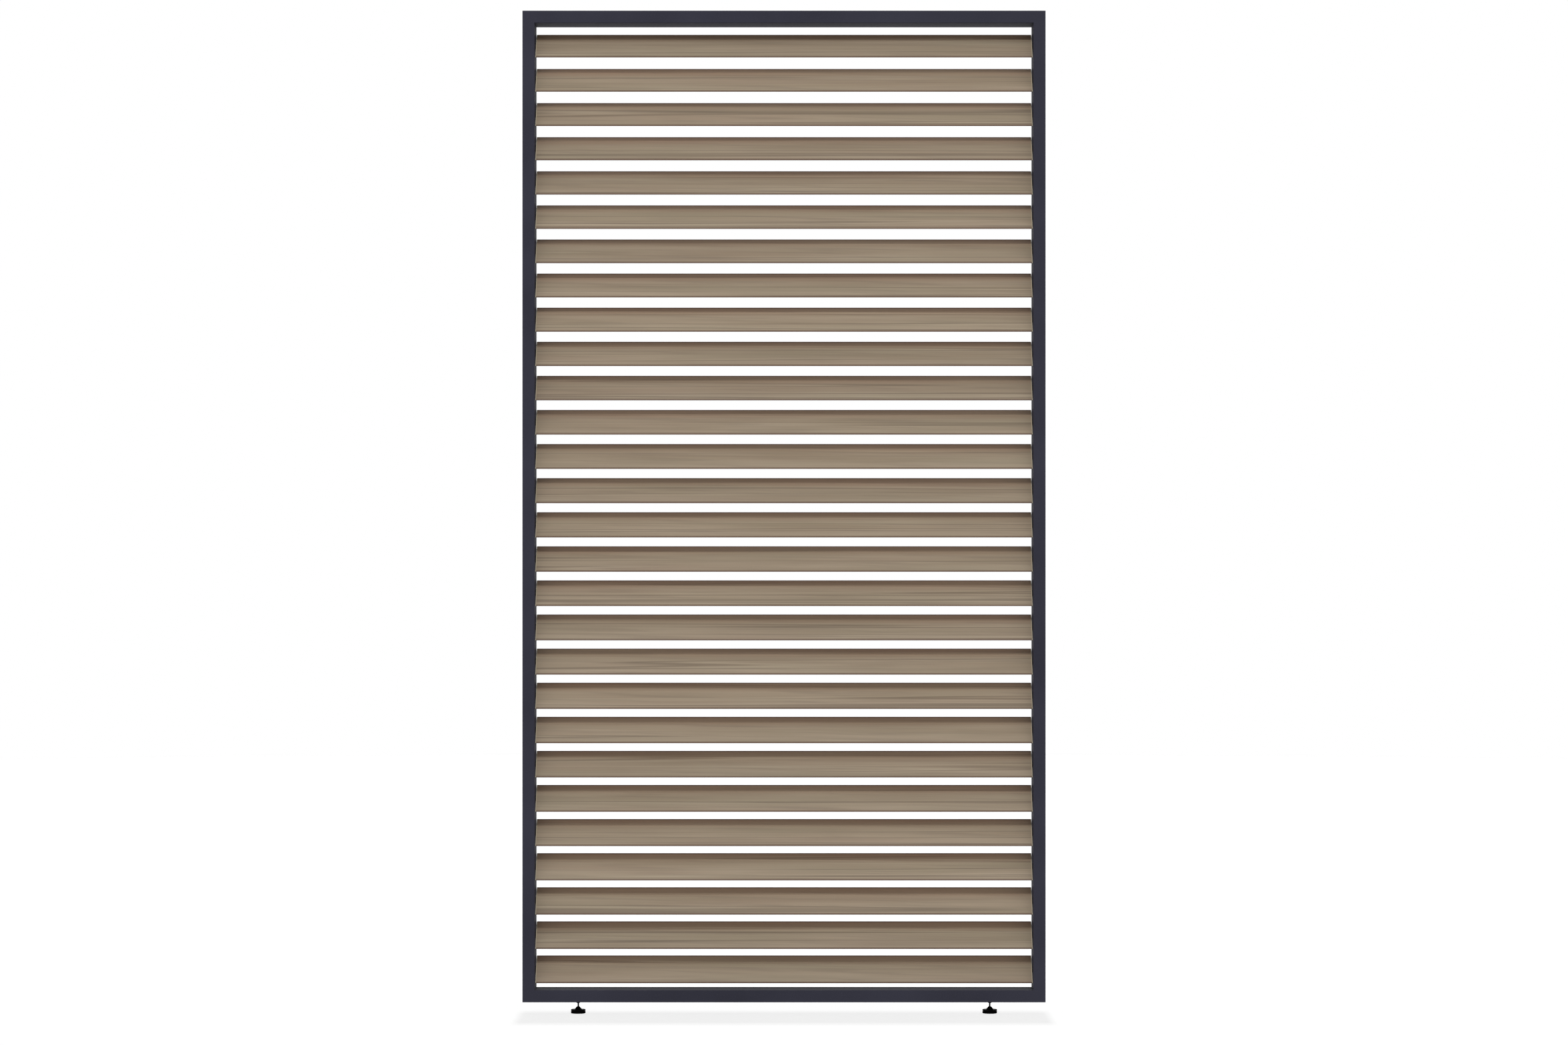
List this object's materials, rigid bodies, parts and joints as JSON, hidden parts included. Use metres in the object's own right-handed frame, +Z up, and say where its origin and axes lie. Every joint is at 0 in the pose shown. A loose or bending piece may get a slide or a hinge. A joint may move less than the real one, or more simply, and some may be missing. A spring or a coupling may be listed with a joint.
{
  "type": "garden privacy screen",
  "caption": "Tall framed garden privacy screen whose horizontal wood-look louvre blades tilt together inside a slim metal frame on two adjustable feet.",
  "frame": {"origin": "on the floor under the middle of the frame", "axes": "+Z up, the front faces -Y, +X is the screen's right as seen from the front"},
  "size_m": [1.08, 0.076, 2.074],
  "materials": {
    "frame_coat": "powder coated, fine matt texture",
    "slat_coat": "wood grain sublimated on powder coat, satin",
    "cast_cleat": "raw extruded",
    "zinc_steel": "bright zinc plated",
    "black_zinc_steel": "black zinc plated",
    "bush_nylon": "moulded",
    "link_bar_metal": "mill finish",
    "foot_nylon": "moulded",
    "foot_rubber": "moulded"
  },
  "bodies": {
    "frame": {"stile_left": "frame_coat", "stile_right": "frame_coat", "top_rail": "frame_coat", "bottom_rail": "frame_coat", "cleat_bottom_left": "cast_cleat", "cleat_bottom_right": "cast_cleat", "cleat_top_left": "cast_cleat", "cleat_top_right": "cast_cleat", "cleat_screws": "zinc_steel", "bushes_left": "bush_nylon", "bushes_right": "bush_nylon", "fixing_inserts_left": "zinc_steel", "fixing_inserts_right": "zinc_steel", "foot_inserts": "zinc_steel", "foot_lock_nuts": "black_zinc_steel"},
    "slat_01": {"slat_01": "slat_coat"},
    "slat_02": {"slat_02": "slat_coat"},
    "slat_03": {"slat_03": "slat_coat"},
    "slat_04": {"slat_04": "slat_coat"},
    "slat_05": {"slat_05": "slat_coat"},
    "slat_06": {"slat_06": "slat_coat"},
    "slat_07": {"slat_07": "slat_coat"},
    "slat_08": {"slat_08": "slat_coat"},
    "slat_09": {"slat_09": "slat_coat"},
    "slat_10": {"slat_10": "slat_coat"},
    "slat_11": {"slat_11": "slat_coat"},
    "slat_12": {"slat_12": "slat_coat"},
    "slat_13": {"slat_13": "slat_coat"},
    "slat_14": {"slat_14": "slat_coat"},
    "slat_15": {"slat_15": "slat_coat"},
    "slat_16": {"slat_16": "slat_coat"},
    "slat_17": {"slat_17": "slat_coat"},
    "slat_18": {"slat_18": "slat_coat"},
    "slat_19": {"slat_19": "slat_coat"},
    "slat_20": {"slat_20": "slat_coat"},
    "slat_21": {"slat_21": "slat_coat"},
    "slat_22": {"slat_22": "slat_coat"},
    "slat_23": {"slat_23": "slat_coat"},
    "slat_24": {"slat_24": "slat_coat"},
    "slat_25": {"slat_25": "slat_coat"},
    "slat_26": {"slat_26": "slat_coat"},
    "slat_27": {"slat_27": "slat_coat"},
    "slat_28": {"slat_28": "slat_coat"},
    "link_bar": {"link_bar": "link_bar_metal"},
    "foot_left": {"foot_base_left": "foot_nylon", "foot_sole_left": "foot_rubber"},
    "stud_left": {"foot_stud_left": "black_zinc_steel"},
    "foot_right": {"foot_base_right": "foot_nylon", "foot_sole_right": "foot_rubber"},
    "stud_right": {"foot_stud_right": "black_zinc_steel"}
  },
  "joints": [
    {"name": "slat_01_tilt", "type": "hinge", "parent": "frame", "child": "slat_01", "pos_m": [0, 0, 2.0053], "axis": [1, 0, 0], "range_deg": [-45, 41]},
    {"name": "slat_02_tilt", "type": "hinge", "parent": "frame", "child": "slat_02", "pos_m": [0, 0, 1.9344], "axis": [1, 0, 0], "range_deg": [-45, 41]},
    {"name": "slat_03_tilt", "type": "hinge", "parent": "frame", "child": "slat_03", "pos_m": [0, 0, 1.8635], "axis": [1, 0, 0], "range_deg": [-45, 41]},
    {"name": "slat_04_tilt", "type": "hinge", "parent": "frame", "child": "slat_04", "pos_m": [0, 0, 1.7926], "axis": [1, 0, 0], "range_deg": [-45, 41]},
    {"name": "slat_05_tilt", "type": "hinge", "parent": "frame", "child": "slat_05", "pos_m": [0, 0, 1.7217], "axis": [1, 0, 0], "range_deg": [-45, 41]},
    {"name": "slat_06_tilt", "type": "hinge", "parent": "frame", "child": "slat_06", "pos_m": [0, 0, 1.6508], "axis": [1, 0, 0], "range_deg": [-45, 41]},
    {"name": "slat_07_tilt", "type": "hinge", "parent": "frame", "child": "slat_07", "pos_m": [0, 0, 1.5799], "axis": [1, 0, 0], "range_deg": [-45, 41]},
    {"name": "slat_08_tilt", "type": "hinge", "parent": "frame", "child": "slat_08", "pos_m": [0, 0, 1.509], "axis": [1, 0, 0], "range_deg": [-45, 41]},
    {"name": "slat_09_tilt", "type": "hinge", "parent": "frame", "child": "slat_09", "pos_m": [0, 0, 1.4381], "axis": [1, 0, 0], "range_deg": [-45, 41]},
    {"name": "slat_10_tilt", "type": "hinge", "parent": "frame", "child": "slat_10", "pos_m": [0, 0, 1.3672], "axis": [1, 0, 0], "range_deg": [-45, 41]},
    {"name": "slat_11_tilt", "type": "hinge", "parent": "frame", "child": "slat_11", "pos_m": [0, 0, 1.2963], "axis": [1, 0, 0], "range_deg": [-45, 41]},
    {"name": "slat_12_tilt", "type": "hinge", "parent": "frame", "child": "slat_12", "pos_m": [0, 0, 1.2254], "axis": [1, 0, 0], "range_deg": [-45, 41]},
    {"name": "slat_13_tilt", "type": "hinge", "parent": "frame", "child": "slat_13", "pos_m": [0, 0, 1.1545], "axis": [1, 0, 0], "range_deg": [-45, 41]},
    {"name": "slat_14_tilt", "type": "hinge", "parent": "frame", "child": "slat_14", "pos_m": [0, 0, 1.0836], "axis": [1, 0, 0], "range_deg": [-45, 41]},
    {"name": "slat_15_tilt", "type": "hinge", "parent": "frame", "child": "slat_15", "pos_m": [0, 0, 1.0127], "axis": [1, 0, 0], "range_deg": [-45, 41]},
    {"name": "slat_16_tilt", "type": "hinge", "parent": "frame", "child": "slat_16", "pos_m": [0, 0, 0.9418], "axis": [1, 0, 0], "range_deg": [-45, 41]},
    {"name": "slat_17_tilt", "type": "hinge", "parent": "frame", "child": "slat_17", "pos_m": [0, 0, 0.8709], "axis": [1, 0, 0], "range_deg": [-45, 41]},
    {"name": "slat_18_tilt", "type": "hinge", "parent": "frame", "child": "slat_18", "pos_m": [0, 0, 0.8], "axis": [1, 0, 0], "range_deg": [-45, 41]},
    {"name": "slat_19_tilt", "type": "hinge", "parent": "frame", "child": "slat_19", "pos_m": [0, 0, 0.7291], "axis": [1, 0, 0], "range_deg": [-45, 41]},
    {"name": "slat_20_tilt", "type": "hinge", "parent": "frame", "child": "slat_20", "pos_m": [0, 0, 0.6582], "axis": [1, 0, 0], "range_deg": [-45, 41]},
    {"name": "slat_21_tilt", "type": "hinge", "parent": "frame", "child": "slat_21", "pos_m": [0, 0, 0.5873], "axis": [1, 0, 0], "range_deg": [-45, 41]},
    {"name": "slat_22_tilt", "type": "hinge", "parent": "frame", "child": "slat_22", "pos_m": [0, 0, 0.5164], "axis": [1, 0, 0], "range_deg": [-45, 41]},
    {"name": "slat_23_tilt", "type": "hinge", "parent": "frame", "child": "slat_23", "pos_m": [0, 0, 0.4455], "axis": [1, 0, 0], "range_deg": [-45, 41]},
    {"name": "slat_24_tilt", "type": "hinge", "parent": "frame", "child": "slat_24", "pos_m": [0, 0, 0.3746], "axis": [1, 0, 0], "range_deg": [-45, 41]},
    {"name": "slat_25_tilt", "type": "hinge", "parent": "frame", "child": "slat_25", "pos_m": [0, 0, 0.3037], "axis": [1, 0, 0], "range_deg": [-45, 41]},
    {"name": "slat_26_tilt", "type": "hinge", "parent": "frame", "child": "slat_26", "pos_m": [0, 0, 0.2328], "axis": [1, 0, 0], "range_deg": [-45, 41]},
    {"name": "slat_27_tilt", "type": "hinge", "parent": "frame", "child": "slat_27", "pos_m": [0, 0, 0.1619], "axis": [1, 0, 0], "range_deg": [-45, 41]},
    {"name": "slat_28_tilt", "type": "hinge", "parent": "frame", "child": "slat_28", "pos_m": [0, 0, 0.091], "axis": [1, 0, 0], "range_deg": [-45, 41]},
    {"name": "link_bar_pivot", "type": "hinge", "parent": "slat_01", "child": "link_bar", "pos_m": [0.5256, 0.016, 2.0053], "axis": [1, 0, 0], "range_deg": [-41, 45]},
    {"name": "foot_left_height", "type": "slide", "parent": "frame", "child": "foot_left", "axis": [0, 0, -1], "range_m": [0, 0.01]},
    {"name": "stud_left_turn", "type": "hinge", "parent": "foot_left", "child": "stud_left", "pos_m": [-0.4265, 0, 0.0095], "axis": [0, 0, -1], "range_deg": [0, 3600.01]},
    {"name": "foot_right_height", "type": "slide", "parent": "frame", "child": "foot_right", "axis": [0, 0, -1], "range_m": [0, 0.01]},
    {"name": "stud_right_turn", "type": "hinge", "parent": "foot_right", "child": "stud_right", "pos_m": [0.4265, 0, 0.0095], "axis": [0, 0, -1], "range_deg": [0, 3600.01]}
  ],
  "couplings": [
    {"joint": "slat_02_tilt", "follows": "slat_01_tilt", "ratio": 1},
    {"joint": "slat_03_tilt", "follows": "slat_01_tilt", "ratio": 1},
    {"joint": "slat_04_tilt", "follows": "slat_01_tilt", "ratio": 1},
    {"joint": "slat_05_tilt", "follows": "slat_01_tilt", "ratio": 1},
    {"joint": "slat_06_tilt", "follows": "slat_01_tilt", "ratio": 1},
    {"joint": "slat_07_tilt", "follows": "slat_01_tilt", "ratio": 1},
    {"joint": "slat_08_tilt", "follows": "slat_01_tilt", "ratio": 1},
    {"joint": "slat_09_tilt", "follows": "slat_01_tilt", "ratio": 1},
    {"joint": "slat_10_tilt", "follows": "slat_01_tilt", "ratio": 1},
    {"joint": "slat_11_tilt", "follows": "slat_01_tilt", "ratio": 1},
    {"joint": "slat_12_tilt", "follows": "slat_01_tilt", "ratio": 1},
    {"joint": "slat_13_tilt", "follows": "slat_01_tilt", "ratio": 1},
    {"joint": "slat_14_tilt", "follows": "slat_01_tilt", "ratio": 1},
    {"joint": "slat_15_tilt", "follows": "slat_01_tilt", "ratio": 1},
    {"joint": "slat_16_tilt", "follows": "slat_01_tilt", "ratio": 1},
    {"joint": "slat_17_tilt", "follows": "slat_01_tilt", "ratio": 1},
    {"joint": "slat_18_tilt", "follows": "slat_01_tilt", "ratio": 1},
    {"joint": "slat_19_tilt", "follows": "slat_01_tilt", "ratio": 1},
    {"joint": "slat_20_tilt", "follows": "slat_01_tilt", "ratio": 1},
    {"joint": "slat_21_tilt", "follows": "slat_01_tilt", "ratio": 1},
    {"joint": "slat_22_tilt", "follows": "slat_01_tilt", "ratio": 1},
    {"joint": "slat_23_tilt", "follows": "slat_01_tilt", "ratio": 1},
    {"joint": "slat_24_tilt", "follows": "slat_01_tilt", "ratio": 1},
    {"joint": "slat_25_tilt", "follows": "slat_01_tilt", "ratio": 1},
    {"joint": "slat_26_tilt", "follows": "slat_01_tilt", "ratio": 1},
    {"joint": "slat_27_tilt", "follows": "slat_01_tilt", "ratio": 1},
    {"joint": "slat_28_tilt", "follows": "slat_01_tilt", "ratio": 1},
    {"joint": "link_bar_pivot", "follows": "slat_01_tilt", "ratio": -1},
    {"joint": "stud_left_turn", "follows": "foot_left_height", "rad_per_m": 6283.2},
    {"joint": "stud_right_turn", "follows": "foot_right_height", "rad_per_m": 6283.2}
  ]
}
